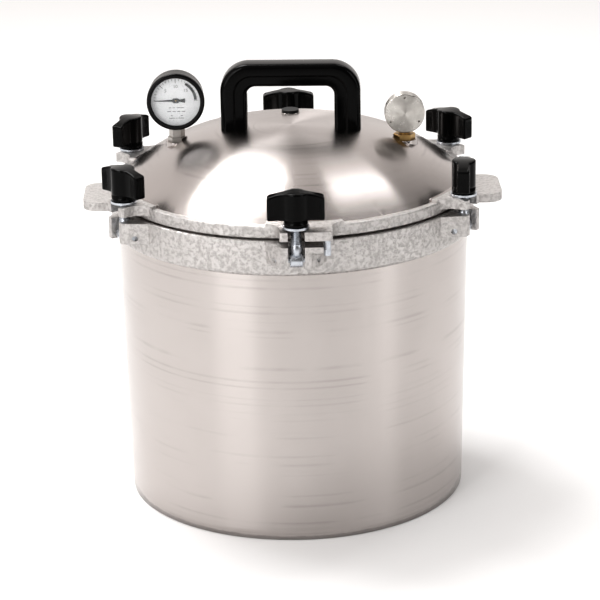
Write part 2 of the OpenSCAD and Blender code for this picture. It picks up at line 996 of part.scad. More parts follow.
module regulator_weight() {
  color(zinc)
    at_vent()
      translate([0, 0, weight_z - vent_seat])
        rotate([90, 0, 0])
          difference() {
            rotate_extrude()
              difference() {
                translate([0, -weight_t / 2])
                  square([weight_d / 2, weight_t]);
                corner_cut(weight_d / 2, weight_t / 2, 1, -1, -1);
                corner_cut(weight_d / 2, -weight_t / 2, 1, -1, 1);
              }
            for (a = [-90, 30, 150])
              rotate([0, 0, a])
                translate([weight_d / 2 - socket_deep, 0, 0])
                  rotate([0, 90, 0])
                    cylinder(r = socket_r, h = socket_deep + 1);
            for (a = [90, 210, 330])
              rotate([0, 0, a])
                translate([weight_d / 2 - 3.4, 0, weight_t / 2 - 3])
                  cylinder(d = 2, h = 4);
          }
}

module overpressure_plug() {
  z_in = dome_z(plug_out - plug_hole_d / 2, lid_t);
  color(black)
    translate([0, plug_out, 0]) {
      translate([0, 0, plug_seat + e])
        cylinder(d = plug_d, h = 2.5);
      translate([0, 0, z_in - 2])
        cylinder(d = plug_hole_d, h = plug_seat - z_in + 3);
      translate([0, 0, z_in - 4])
        cylinder(d1 = plug_hole_d - 2, d2 = plug_hole_d + 2, h = 3);
    }
}

// ---------- canning rack ----------

module canning_rack() {
  z = floor_t + 0.3 + rack_foot;
  pitch = (rack_r - 26) / 4;
  color("#b9bbbd")
    difference() {
      union() {
        translate([0, 0, z])
          cylinder(r = rack_r, h = rack_t);
        for (a = [0:90:270])
          rotate([0, 0, a + 45])
            translate([pitch * 3.5, 0, floor_t + 0.3])
              cylinder(d1 = 6, d2 = 10, h = rack_foot + e);
      }
      translate([0, 0, z - 1])
        cylinder(d = 26, h = rack_t + 2);
      for (k = [1:4])
        for (j = [0:6 * k - 1])
          rotate([0, 0, 360 / (6 * k) * j])
            translate([k * pitch, 0, z - 1])
              cylinder(d = rack_hole, h = rack_t + 2);
    }
}

// ---------- drawing ----------

pot();
pivot_pins();
swing_bolt(0);  // swing_bolt_f
swing_bolt(1);  // swing_bolt_fr
swing_bolt(2);  // swing_bolt_br
swing_bolt(3);  // swing_bolt_b
swing_bolt(4);  // swing_bolt_bl
swing_bolt(5);  // swing_bolt_fl
washer(0);  // washer_f
washer(1);  // washer_fr
washer(2);  // washer_br
washer(3);  // washer_b
washer(4);  // washer_bl
washer(5);  // washer_fl
wing_nut(0);  // wing_nut_f
wing_nut(1);  // wing_nut_fr
wing_nut(2);  // wing_nut_br
wing_nut(3);  // wing_nut_b
wing_nut(4);  // wing_nut_bl
wing_nut(5);  // wing_nut_fl
nut_insert(0);  // nut_insert_f
nut_insert(1);  // nut_insert_fr
nut_insert(2);  // nut_insert_br
nut_insert(3);  // nut_insert_b
nut_insert(4);  // nut_insert_bl
nut_insert(5);  // nut_insert_fl
lid();
stop_pin();
lid_handle();
handle_screws();
handle_washers();
gauge_stem();
gauge_case();
gauge_bezel();
gauge_glass();
gauge_dial();
gauge_pointer();
pointer_arbor();
sector_gear();
gauge_link();
bourdon_tube();
movement_plates();
hairspring();
vent_pipe();
regulator_weight();
overpressure_plug();
canning_rack();
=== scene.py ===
"""Looks of the pressure canner, built around its fixed frame.

Lengths are in metres. Sizes that belong to one finish or one edge are written in
millimetres times MM. The gauge faces -Y, and the pot stands on z = 0.
"""

import json
import math

import bpy
import numpy as np
from mathutils import Matrix, Vector


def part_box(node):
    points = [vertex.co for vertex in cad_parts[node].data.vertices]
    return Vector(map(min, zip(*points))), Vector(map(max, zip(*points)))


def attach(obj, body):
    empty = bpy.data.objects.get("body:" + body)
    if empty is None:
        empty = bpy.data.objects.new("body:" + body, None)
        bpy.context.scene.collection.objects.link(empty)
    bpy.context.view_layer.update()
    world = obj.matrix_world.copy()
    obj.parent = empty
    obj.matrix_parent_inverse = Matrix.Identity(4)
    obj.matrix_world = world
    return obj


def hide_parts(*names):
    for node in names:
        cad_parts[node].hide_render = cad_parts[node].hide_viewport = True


bl_info = {
    "name": "Pressure Canner",
    "version": (1, 0, 0),
    "blender": (4, 5, 0),
    "location": "View3D > Sidebar > Canner",
    "description": "Builds the visible pieces and finishes of a six-clamp pressure canner",
    "category": "Add Mesh",
}

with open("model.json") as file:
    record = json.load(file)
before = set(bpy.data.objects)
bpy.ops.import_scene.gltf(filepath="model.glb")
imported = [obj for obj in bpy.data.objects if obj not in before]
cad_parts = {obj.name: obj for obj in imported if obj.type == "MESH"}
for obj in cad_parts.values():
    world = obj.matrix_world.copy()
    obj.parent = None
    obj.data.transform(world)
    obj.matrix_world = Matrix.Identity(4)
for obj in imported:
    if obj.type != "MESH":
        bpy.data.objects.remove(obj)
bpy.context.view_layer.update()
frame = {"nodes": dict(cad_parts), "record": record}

MM = 0.001
CLAMPS = ("f", "fr", "br", "b", "bl", "fl")


def linear(text):
    """An sRGB hex colour as linear red, green, blue and alpha."""
    srgb = np.array([int(text[k:k + 2], 16) for k in (1, 3, 5)]) / 255
    low = srgb / 12.92
    high = ((srgb + 0.055) / 1.055) ** 2.4
    return (*np.where(srgb <= 0.04045, low, high).tolist(), 1.0)


# ---------- places read from the frame ----------

POT_LOW, POT_HIGH = (np.array(p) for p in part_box("pot"))


def middle(node):
    """The middle of a CAD node's box."""
    low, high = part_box(node)
    return (np.array(low) + np.array(high)) / 2


def node_points(node):
    """Every corner of a CAD node's mesh, as an array with three columns."""
    mesh = frame["nodes"][node].data
    points = np.empty(len(mesh.vertices) * 3)
    mesh.vertices.foreach_get("co", points)
    return points.reshape(-1, 3)


def wing_heading(key):
    """Direction of a wing nut's long way, from the spread of its corners in plan."""
    plan = node_points("wing_nut_" + key)[:, :2]
    spread = np.cov((plan - plan.mean(axis=0)).T)
    along = np.linalg.eigh(spread)[1][:, -1]
    return math.atan2(along[1], along[0])


# ---------- surfaces ----------

def wrapped_surface(points, ring=False):
    """Closed skin over a grid of points, rows by columns.

    Columns always run round and meet. With ring the rows meet too, as on a torus;
    otherwise the first and last row are each closed by a fan to their middle.
    """
    rows, cols = points.shape[:2]
    j, i = np.meshgrid(np.arange(rows if ring else rows - 1), np.arange(cols), indexing="ij")
    near, far = i, (i + 1) % cols
    low, high = j * cols, (j + 1) % rows * cols
    quads = np.stack([low + near, low + far, high + far, high + near], axis=-1).reshape(-1, 4)
    corners = points.reshape(-1, 3)
    faces = quads.tolist()
    if not ring:
        k = np.arange(cols)
        following = (k + 1) % cols
        first, last = rows * cols, rows * cols + 1
        top = (rows - 1) * cols
        faces += np.stack([following, k, np.full(cols, first)], axis=-1).tolist()
        faces += np.stack([top + k, top + following, np.full(cols, last)], axis=-1).tolist()
        corners = np.vstack([corners, points[0].mean(axis=0), points[-1].mean(axis=0)])
    return corners, outward(corners, faces)


def outward(corners, faces):
    """The faces turned so that the solid's signed volume is positive."""
    tri = np.array([(f[0], f[a], f[a + 1]) for f in faces for a in range(1, len(f) - 1)])
    a, b, c = (corners[tri[:, k]] for k in range(3))
    volume = np.einsum("ij,ij->i", a, np.cross(b, c)).sum()
    return faces if volume > 0 else [face[::-1] for face in faces]


def rounded(outline, radii, steps=6):
    """Outline with each corner swapped for an arc that touches both its sides."""
    outline = np.asarray(outline, float)
    out = []
    for k, radius in enumerate(radii):
        here = outline[k]
        back = outline[k - 1] - here
        on = outline[(k + 1) % len(outline)] - here
        back, on = back / np.linalg.norm(back), on / np.linalg.norm(on)
        half = math.acos(np.clip(back @ on, -1, 1)) / 2
        if radius <= 0 or half > math.pi / 2 - 1e-3:
            out.append(here[None])
            continue
        reach = radius / math.tan(half)
        bisector = (back + on) / np.linalg.norm(back + on)
        centre = here + bisector * radius / math.sin(half)
        a, b = here + back * reach - centre, here + on * reach - centre
        turn = math.pi - 2 * half
        t = np.linspace(0, 1, steps + 1)[:, None]
        out.append(centre + (np.sin((1 - t) * turn) * a + np.sin(t * turn) * b) / math.sin(turn))
    return np.vstack(out)


def lathe(profile, origin, axis, segments=96):
    """A closed profile of (radius, height) points turned about an axis through origin."""
    axis = np.asarray(axis, float)
    side = np.cross(axis, (0.0, 0.0, 1.0) if abs(axis[2]) < 0.9 else (1.0, 0.0, 0.0))
    side /= np.linalg.norm(side)
    other = np.cross(axis, side)
    turn = np.linspace(0, 2 * math.pi, segments, endpoint=False)
    spoke = np.cos(turn)[:, None] * side + np.sin(turn)[:, None] * other
    radius, height = profile[:, 0], profile[:, 1]
    points = origin + radius[:, None, None] * spoke[None] + height[:, None, None] * axis
    return wrapped_surface(points, ring=True)


def resampled(outline, count):
    """Closed outline with count points at even steps along its length."""
    loop = np.vstack([outline, outline[:1]])
    length = np.concatenate([[0], np.cumsum(np.linalg.norm(np.diff(loop, axis=0), axis=1))])
    at = np.linspace(0, length[-1], count, endpoint=False)
    return np.stack([np.interp(at, length, loop[:, k]) for k in range(2)], axis=1)


def outline_normals(outline):
    """Unit normals that point out of a closed outline that runs anticlockwise."""
    along = np.roll(outline, -1, axis=0) - np.roll(outline, 1, axis=0)
    normal = np.stack([along[:, 1], -along[:, 0]], axis=1)
    return normal / np.linalg.norm(normal, axis=1)[:, None]


def show(name, mesh, finish, body, slot, *nodes):
    """Puts a mesh in view with its finish, riding on a body in place of its CAD nodes."""
    mesh.materials.clear()
    mesh.materials.append(finish)
    made = bpy.data.objects.new(name, mesh)
    bpy.context.scene.collection.objects.link(made)
    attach(made, body)
    if nodes:
        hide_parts(*nodes)
    return made


def piece(name, shells, finish, body, slot, *nodes):
    """One object made of closed shells."""
    corners, faces, base = [], [], 0
    for shell_corners, shell_faces in shells:
        corners.append(shell_corners)
        faces += [[base + k for k in face] for face in shell_faces]
        base += len(shell_corners)
    mesh = bpy.data.meshes.new(name)
    mesh.from_pydata(np.vstack(corners).tolist(), [], faces)
    mesh.validate()
    mesh.shade_smooth()
    return show(name, mesh, finish, body, slot, *nodes)


# ---------- material building ----------

def add(tree, kind, inputs=None, **settings):
    """Adds one shader node; an input takes a value, a socket, or a node's first output."""
    node = tree.nodes.new("ShaderNode" + kind)
    for name, value in settings.items():
        setattr(node, name, value)
    for name, value in (inputs or {}).items():
        if isinstance(value, bpy.types.Node):
            value = value.outputs[0]
        if isinstance(value, bpy.types.NodeSocket):
            tree.links.new(value, node.inputs[name])
        else:
            node.inputs[name].default_value = value
    return node


def blank(name):
    """An empty node material, its tree and its Object coordinates."""
    made = bpy.data.materials.new(name)
    made.use_nodes = True
    tree = made.node_tree
    tree.nodes.clear()
    return made, tree, add(tree, "TexCoord").outputs["Object"]


def close(tree, inputs):
    """Ends a material in one principled surface with these inputs."""
    add(tree, "OutputMaterial", {"Surface": add(tree, "BsdfPrincipled", inputs)})


def turned_about(tree, place, middle_at, axis):
    """Distance from a turning axis, and the way that the tool ran round it.

    With p the place from the middle and a the axis, the distance is |p - (p.a) a| and the
    way is a x p, made one long.
    """
    from_middle = add(tree, "VectorMath", {0: place, 1: middle_at}, operation="SUBTRACT")
    keep = tuple(1.0 - abs(k) for k in axis)
    flat = add(tree, "VectorMath", {0: from_middle, 1: keep}, operation="MULTIPLY")
    radius = add(tree, "VectorMath", {0: flat}, operation="LENGTH").outputs["Value"]
    way = add(tree, "VectorMath", {0: axis, 1: flat}, operation="CROSS_PRODUCT")
    return radius, add(tree, "VectorMath", {0: way}, operation="NORMALIZE")


# ---------- finishes ----------

# faces of the pot past WALL_R and above BAND_LOW, and of the lid past DOME_R, are as cast
EARS_OUT = 21 * MM
BAND_DEEP = 31 * MM
WALL_R = (POT_HIGH[1] - POT_LOW[1]) / 2 - EARS_OUT
BAND_LOW = POT_HIGH[2] - BAND_DEEP
DOME_R = 158 * MM
# a quarter turn from the tool's way, as a share of a whole turn
ACROSS_THE_LINES = 0.25
EDGE_SAMPLES = 4


def cast_aluminium(name, turned_colour, cast_colour, edge, is_lid):
    """Aluminium casting, part of it turned in a lathe.

    Turned faces are satin. Their tool lines run round, so light spreads across the lines:
    up and down the wall, and in fans on the dome. Faces left as cast are grainier and
    duller, with darker pits the size of sand. Patches a few centimetres wide vary the shine
    of the turned faces.
    """
    # tool lines are drawn coarser than the real feed of 0.2 mm, so that they show
    tool_lines, deep_lines = 1.2 * MM, 4.5 * MM
    patches, sand = 45 * MM, 3.2 * MM
    tool_depth, pit_depth = 0.01 * MM, 0.35 * MM
    satin, dull_satin, duller_as_cast = 0.2, 0.28, 0.14
    score_begins, score_full, scored_least = 0.55, 0.75, 0.3
    clear_patch, scored_patch = 0.42, 0.62
    pit_floor, pit_brim = 0.34, 0.6
    skin = 0.5 * MM
    made, tree, place = blank(name)
    height = add(tree, "SeparateXYZ", {0: place}).outputs["Z"]
    radius, turning = turned_about(tree, place, (0, 0, 0), (0, 0, 1))
    if is_lid:
        cast = add(tree, "MapRange", {0: radius, 1: DOME_R - skin, 2: DOME_R + skin},
                   interpolation_type="SMOOTHSTEP")
        along = radius
    else:
        above = add(tree, "MapRange", {0: height, 1: BAND_LOW - 4 * skin, 2: BAND_LOW},
                    interpolation_type="SMOOTHSTEP")
        outside = add(tree, "MapRange", {0: radius, 1: WALL_R, 2: WALL_R + 2 * skin},
                      interpolation_type="SMOOTHSTEP")
        cast = add(tree, "Math", {0: above, 1: outside}, operation="MULTIPLY")
        along = add(tree, "Math", {0: height, 1: radius}, operation="ADD")
    tool = add(tree, "TexNoise", {"W": along, "Scale": 1 / tool_lines, "Detail": 2.0},
               noise_dimensions="1D")
    # single deeper lines, which come and go round the pot
    deep_line = add(tree, "TexNoise", {"W": along, "Scale": 1 / deep_lines, "Detail": 1.0},
                    noise_dimensions="1D")
    patch = add(tree, "TexNoise", {"Vector": place, "Scale": 1 / patches, "Detail": 3.0})
    scored = add(tree, "MapRange", {0: deep_line, 1: score_begins, 2: score_full})
    come_and_go = add(tree, "MapRange", {0: patch, 1: clear_patch, 2: scored_patch,
                                         4: scored_least})
    scored = add(tree, "Math", {0: scored, 1: come_and_go}, operation="MULTIPLY")
    turned_tone = add(tree, "Mix", {0: scored, 6: turned_colour, 7: linear("#948e8b")},
                      data_type="RGBA").outputs[2]
    grain = add(tree, "TexNoise", {"Vector": place, "Scale": 1 / sand, "Detail": 6.0,
                                   "Roughness": 0.62})
    pits = add(tree, "MapRange", {0: grain, 1: pit_floor, 2: pit_brim},
               interpolation_type="SMOOTHSTEP")
    cast_tone = add(tree, "Mix", {0: pits, 6: linear("#a9a6a4"), 7: cast_colour},
                    data_type="RGBA").outputs[2]
    tone = add(tree, "Mix", {0: cast, 6: turned_tone, 7: cast_tone}, data_type="RGBA").outputs[2]
    eased = add(tree, "Bevel", {"Radius": edge}, samples=EDGE_SAMPLES)
    lined = add(tree, "Bump", {"Height": tool, "Distance": tool_depth, "Normal": eased})
    cast_height = add(tree, "Math", {0: pits, 1: cast}, operation="MULTIPLY")
    normal = add(tree, "Bump", {"Height": cast_height, "Distance": pit_depth, "Normal": lined})
    turned_rough = add(tree, "MapRange", {0: patch, 3: satin, 4: dull_satin})
    roughness = add(tree, "Math", {0: cast, 1: duller_as_cast, 2: turned_rough},
                    operation="MULTIPLY_ADD")
    directed = add(tree, "MapRange", {0: cast, 3: 0.92, 4: 0.0})
    close(tree, {"Base Color": tone, "Metallic": 1.0, "Roughness": roughness,
                 "Anisotropic": directed, "Anisotropic Rotation": ACROSS_THE_LINES,
                 "Tangent": turning, "Normal": normal})
    return made


def plated_metal(name, colour, worn, roughness, edge=0.25 * MM):
    """Machined metal with a fine tumbled grain and duller handled patches."""
    handled, tumbled, grain_depth = 7 * MM, 0.5 * MM, 0.012 * MM
    dulling, speckle = 0.16, 0.06
    made, tree, place = blank(name)
    patches = add(tree, "TexNoise", {"Vector": place, "Scale": 1 / handled, "Detail": 4.0})
    grain = add(tree, "TexNoise", {"Vector": place, "Scale": 1 / tumbled, "Detail": 3.0})
    dulled = add(tree, "MapRange", {0: patches, 3: roughness, 4: roughness + dulling})
    rough = add(tree, "Math", {0: grain, 1: speckle, 2: dulled}, operation="MULTIPLY_ADD")
    tone = add(tree, "Mix", {0: patches, 6: colour, 7: worn}, data_type="RGBA").outputs[2]
    bump = {"Height": grain, "Distance": grain_depth}
    if edge > 0:
        bump["Normal"] = add(tree, "Bevel", {"Radius": edge}, samples=EDGE_SAMPLES)
    close(tree, {"Base Color": tone, "Metallic": 1.0, "Roughness": rough,
                 "Normal": add(tree, "Bump", bump)})
    return made


def moulded(name, colour, worn, roughness, grain_depth, shine, edge=0.5 * MM):
    """Moulded or enamelled surface: faintly uneven, with finer scuffs in patches."""
    waves, scuffs = 14 * MM, 1.2 * MM
    scuff_begins, scuff_full = 0.58, 0.72
    uneven, scuff_dulling = 0.08, 0.12
    made, tree, place = blank(name)
    wave = add(tree, "TexNoise", {"Vector": place, "Scale": 1 / waves, "Detail": 2.0})
    scuff = add(tree, "TexNoise", {"Vector": place, "Scale": 1 / scuffs, "Detail": 6.0})
    scuffed = add(tree, "MapRange", {0: scuff, 1: scuff_begins, 2: scuff_full},
                  interpolation_type="SMOOTHSTEP")
    base = add(tree, "MapRange", {0: wave, 3: roughness, 4: roughness + uneven})
    rough = add(tree, "Math", {0: scuffed, 1: scuff_dulling, 2: base}, operation="MULTIPLY_ADD")
    tone = add(tree, "Mix", {0: scuffed, 6: colour, 7: worn}, data_type="RGBA").outputs[2]
    bump = {"Height": scuff, "Distance": grain_depth}
    if edge > 0:
        bump["Normal"] = add(tree, "Bevel", {"Radius": edge}, samples=EDGE_SAMPLES)
    close(tree, {"Base Color": tone, "Roughness": rough, "IOR": 1.5,
                 "Specular IOR Level": shine, "Normal": add(tree, "Bump", bump)})
    return made


def clear_glass(name):
    """Flat gauge glass: nearly all clear, with a light film of dust that dulls it in patches."""
    dusty_patches, clean, dusty = 9 * MM, 0.02, 0.1
    made, tree, place = blank(name)
    dust = add(tree, "TexNoise", {"Vector": place, "Scale": 1 / dusty_patches, "Detail": 4.0})
    film = add(tree, "MapRange", {0: dust, 3: clean, 4: dusty})
    close(tree, {"Base Color": linear("#eef4f5"), "IOR": 1.5, "Alpha": 0.08,
                 "Roughness": film})
    return made


def spun_weight(name, colour):
    """Steel faced off in a lathe about the weight's own middle, so light fans out from it."""
    # facing marks are drawn coarser than the real 0.15 mm, so that they show
    facing_marks, mark_depth = 0.5 * MM, 0.008 * MM
    smears, bright, smeared = 6 * MM, 0.24, 0.34
    rim_edge = 0.3 * MM
    made, tree, place = blank(name)
    radius, turning = turned_about(tree, place, tuple(middle("regulator_weight")), (0, 1, 0))
    tool = add(tree, "TexNoise", {"W": radius, "Scale": 1 / facing_marks, "Detail": 2.0},
               noise_dimensions="1D")
    smear = add(tree, "TexNoise", {"Vector": place, "Scale": 1 / smears, "Detail": 3.0})
    tone = add(tree, "Mix", {0: smear, 6: colour, 7: linear("#a9a6a1")},
               data_type="RGBA").outputs[2]
    eased = add(tree, "Bevel", {"Radius": rim_edge}, samples=EDGE_SAMPLES)
    close(tree, {"Base Color": tone, "Metallic": 1.0,
                 "Roughness": add(tree, "MapRange", {0: smear, 3: bright, 4: smeared}),
                 "Anisotropic": 0.95, "Anisotropic Rotation": ACROSS_THE_LINES,
                 "Tangent": turning,
                 "Normal": add(tree, "Bump", {"Height": tool, "Distance": mark_depth,
                                              "Normal": eased})})
    return made


# ---------- settings ----------

def length(name, text, value):
    """A length setting in metres."""
    return bpy.props.FloatProperty(name=name, description=text, default=value,
                                   min=0.0, subtype="DISTANCE", unit="LENGTH")


def colour(name, text, value):
    """A colour setting, given as sRGB hex."""
    return bpy.props.FloatVectorProperty(name=name, description=text, size=4, min=0.0,
                                         max=1.0, subtype="COLOR", default=linear(value))


class CannerSizes(bpy.types.PropertyGroup):
    """Sizes of the pieces that stand in for plain CAD solids."""

    nut_edge: length("Nut edge", "Edge radius of the wing nuts", 1.6 * MM)
    rib_pitch: length("Rib pitch", "Spacing of the ribs on the wing ends", 1.7 * MM)
    rib_depth: length("Rib depth", "Depth of the ribs on the wing ends", 0.35 * MM)
    thread_pitch: length("Thread pitch", "Rise of the bolt thread in one turn", 1.5875 * MM)
    thread_depth: length("Thread depth", "Depth of the bolt thread", 0.85 * MM)
    handle_edge: length("Handle edge", "Radius of the handle's outer edges", 4.5 * MM)
    handle_zone: length("Handle zone", "Width of the handle's raised outer zone", 10.5 * MM)
    handle_step: length("Handle step", "Drop from the raised zone to the inner one", 1.2 * MM)
    bezel_edge: length("Bezel edge", "Radius of the bezel's front edge", 1.6 * MM)
    mark_lift: length("Mark lift", "Thickness of the printed dial marks", 0.06 * MM)


class CannerColours(bpy.types.PropertyGroup):
    """Colours of the finishes."""

    turned: colour("Turned aluminium", "Lathe-turned faces", "#bcb6b3")
    cast: colour("Cast aluminium", "Faces left as cast", "#c6c3c1")
    sheet: colour("Sheet aluminium", "The rack", "#c8c8c8")
    zinc: colour("Zinc plate", "Bolts, washers, pins and screws", "#cfd3d8")
    brass: colour("Brass", "Vent pipe, inserts and movement", "#c9ab78")
    phenolic: colour("Phenolic", "Handle and wing nuts", "#050505")
    enamel: colour("Black enamel", "Gauge case and bezel", "#0a090a")
    dial: colour("Dial white", "Gauge dial", "#fafbfd")
    rubber: colour("Rubber", "Overpressure plug", "#141414")


FINISH_KEY = "slot"


def finishes():
    """Every finish by its slot, made once."""
    known = {m[FINISH_KEY]: m for m in bpy.data.materials if FINISH_KEY in m}
    if known:
        return known
    c = bpy.context.scene.canner_colours
    turned, cast = tuple(c.turned), tuple(c.cast)
    made = {
        # satin turned wall with upright bands of light, grainy band and bosses
        "turned_aluminium": cast_aluminium("Cast aluminium, lathe turned", turned, cast,
                                           1.0 * MM, False),
        # satin dome with fans of light, grainy flange and lugs
        "lid_aluminium": cast_aluminium("Cast aluminium, turned dome", turned, cast,
                                        0.8 * MM, True),
        # mill finish, a little dull
        "sheet_aluminium": plated_metal("Aluminium sheet, mill finish", tuple(c.sheet),
                                        linear("#aaaaaa"), 0.3),
        # bluish bright zinc, dulled where it is handled
        "zinc_steel": plated_metal("Steel, bright zinc plate", tuple(c.zinc),
                                   linear("#a6abb2"), 0.16),
        # bright machined brass with brown tarnish
        "brass": plated_metal("Brass, machined", tuple(c.brass), linear("#8d6f45"), 0.22),
        # silvery plate on the brass stem, which shows no yellow
        "plated_stem": plated_metal("Brass, nickel plate", linear("#c4c1bd"),
                                    linear("#97938e"), 0.22),
        # bright strip, slightly brown
        "spring_steel": plated_metal("Spring steel, bright", linear("#b5b1a8"),
                                     linear("#8f8b84"), 0.2, edge=0.0),
        # faced steel with fans of light
        "turned_steel": spun_weight("Steel, turned face", linear("#dcd9d4")),
        # deep gloss black with small crisp highlights
        "black_phenolic": moulded("Phenolic, gloss moulded", tuple(c.phenolic),
                                  linear("#0c0c0d"), 0.08, 0.012 * MM, 0.1),
        # soft gloss black over steel
        "black_enamel": moulded("Steel, black enamel", tuple(c.enamel),
                                linear("#151313"), 0.15, 0.015 * MM, 0.18, edge=0.3 * MM),
        # dull black with no highlights
        "black_rubber": moulded("Rubber, moulded", tuple(c.rubber),
                                linear("#262626"), 0.5, 0.04 * MM, 0.4),
        # even matt white
        "dial_white": moulded("Aluminium dial, white enamel", tuple(c.dial),
                              linear("#dfe1e3"), 0.42, 0.008 * MM, 0.4, edge=0.0),
        # clear, faintly dusty
        "glass": clear_glass("Gauge glass"),
    }
    for slot, material in made.items():
        material[FINISH_KEY] = slot
    return made


# ---------- wing nuts ----------

HUB_R = 10.7 * MM
SPAN_R = 24.9 * MM
END_HALF = 6.4 * MM
WAIST_HALF = 4.9 * MM
WAIST_SHARE = 0.64
END_CORNER = 2.6 * MM
HUB_BLEND = 0.9 * MM
ARCH_DROP = 4.5 * MM
FOOT_GAP = 0.1 * MM
WINGS_UP = 5.4 * MM
UNDER_WINGS = 0.3 * MM
RIBS_FROM, RIBS_FADE = 0.62, 0.1
FOOT_SHARE = 0.7
OUTLINE_POINTS = 720


def wing_outline():
    """Plan of a wing nut: a round hub blended into two wings with rounded ends.

    The half width at x is the smooth greater of the hub's circle and a wing that is
    narrowest between hub and end; near the end it drops along a quarter circle.
    """
    x = SPAN_R * np.cos(np.linspace(0, math.pi, 400))
    reach = np.abs(x)
    hub = np.sqrt(np.clip(HUB_R ** 2 - x ** 2, 0, None))
    waist_x = WAIST_SHARE * SPAN_R
    wing = WAIST_HALF + (END_HALF - WAIST_HALF) * ((reach - waist_x) / (SPAN_R - waist_x)) ** 2
    wing = np.minimum(wing, END_HALF)
    half = HUB_BLEND * np.logaddexp(hub / HUB_BLEND, wing / HUB_BLEND)
    past = np.clip(reach - (SPAN_R - END_CORNER), 0, END_CORNER)
    half = half - END_CORNER + np.sqrt(END_CORNER ** 2 - past ** 2)
    upper = np.stack([x, half], axis=1)
    lower = np.stack([x[::-1], -half[::-1]], axis=1)
    return np.vstack([upper, lower])


def wing_nut_surface(centre, heading, low, top, sizes):
    """Rows of rings from the hub's bottom to the middle of the arched top.

    Ring by ring: the hub's rounded foot, straight up to the wings, out under them, round
    their lower edge, up the ribbed side, round the upper edge, and in over the arch. The
    arch drops by x squared over twice its radius.
    """
    bottom, wing_low = low + FOOT_GAP, low + WINGS_UP
    outline = resampled(wing_outline(), OUTLINE_POINTS)
    normal = outline_normals(outline)
    angle = np.arctan2(outline[:, 1], outline[:, 0])
    hub = HUB_R * np.stack([np.cos(angle), np.sin(angle)], axis=1)
    hub = np.where((np.linalg.norm(outline, axis=1) < HUB_R)[:, None], outline, hub)
    edge = sizes.nut_edge
    foot_edge = edge * FOOT_SHARE
    along = np.cumsum(np.linalg.norm(np.roll(outline, -1, axis=0) - outline, axis=1))
    on_end = np.clip((np.abs(outline[:, 0]) - RIBS_FROM * SPAN_R) / (RIBS_FADE * SPAN_R), 0, 1)
    rib = on_end * sizes.rib_depth * (0.5 - 0.5 * np.cos(2 * math.pi * along / sizes.rib_pitch))
    arch_r = SPAN_R ** 2 / (2 * ARCH_DROP)

    rings, heights = [], []

    def ring(plan, height):
        rings.append(plan)
        heights.append(height)

    flat = np.zeros(OUTLINE_POINTS)
    hub_normal = hub / np.linalg.norm(hub, axis=1)[:, None]
    for t in np.linspace(0, math.pi / 2, 5):
        ring(hub - hub_normal * foot_edge * (1 - math.sin(t)), flat + bottom
             + foot_edge * (1 - math.cos(t)))
    ring(hub, flat + wing_low - UNDER_WINGS)
    for t in np.linspace(0, math.pi / 2, 5):
        ring(outline - normal * edge * (1 - math.sin(t)), flat + wing_low
             + edge * (1 - math.cos(t)))
    side_low = wing_low + edge
    side_high = top - edge - outline[:, 0] ** 2 / (2 * arch_r)
    for share in np.linspace(0.04, 0.96, 8):
        fade = min(1.0, 8 * share * (1 - share))
        ring(outline - normal * (rib * fade)[:, None], side_low + share * (side_high - side_low))
    for t in np.linspace(0, math.pi / 2, 6):
        ring(outline - normal * edge * (1 - math.cos(t)), side_high + edge * math.sin(t))
    inner = rings[-1]
    for share in (0.9, 0.75, 0.55, 0.35, 0.15, 0.03):
        plan = inner * share
        ring(plan, top - plan[:, 0] ** 2 / (2 * arch_r))

    plan = np.array(rings)
    c, s = math.cos(heading), math.sin(heading)
    turned = plan @ np.array([[c, s], [-s, c]]) + centre[:2]
    return wrapped_surface(np.dstack([turned, np.array(heights)]))


# ---------- swing bolts ----------

EYE_R = 6.5 * MM
EYE_HOLE_R = 2.44 * MM
EYE_HALF = 5.85 * MM
EYE_EDGE = 1 * MM
HOLE_EDGE = 0.4 * MM
SHANK_UP = 3.2 * MM
BOLT_R = 4.75 * MM
NECK_R = 5.55 * MM
NECK_TOP = 7.8 * MM
NECK_CONE = 3 * MM
TIP = 1 * MM


def threaded_shank(foot, top, sizes):
    """Thick neck that narrows to a right-hand thread.

    The radius falls from the crest by the thread depth times a triangle wave of height
    over pitch less the share of a turn, and fades at the neck and at the tip.
    """
    around, steps_a_turn = 48, 8
    height = np.concatenate([
        [0.0, NECK_TOP],
        np.arange(NECK_TOP + NECK_CONE, top - TIP, sizes.thread_pitch / steps_a_turn),
        [top - TIP, top],
    ])
    turn = np.linspace(0, 2 * math.pi, around, endpoint=False)
    h, a = np.meshgrid(height, turn, indexing="ij")
    phase = np.mod(h / sizes.thread_pitch - a / (2 * math.pi), 1.0)
    groove = sizes.thread_depth * np.abs(2 * phase - 1)
    begun = np.clip((h - NECK_TOP - NECK_CONE) / sizes.thread_pitch, 0, 1)
    ended = np.clip((top - TIP - h) / sizes.thread_pitch, 0, 1)
    radius = np.where(h <= NECK_TOP, NECK_R, BOLT_R - groove * begun * ended)
    radius = np.where(h >= top - 1e-6, BOLT_R - TIP, radius)
    points = np.stack([radius * np.cos(a), radius * np.sin(a), h], axis=-1) + foot
    return wrapped_surface(points)


# ---------- handle ----------

HANDLE_HALF = 64 * MM
HANDLE_BAR = 21 * MM
HANDLE_LEG = 24 * MM
HANDLE_DEEP = 24 * MM
ARCH_OUT_R = 26 * MM
ARCH_IN_R = 8 * MM
FOOT_SUNK = 1 * MM
HANDLE_TURN = math.radians(-3)
ZONE_TOP, ZONE_FOOT, GRIP_EDGE = 0.8 * MM, 0.6 * MM, 3 * MM


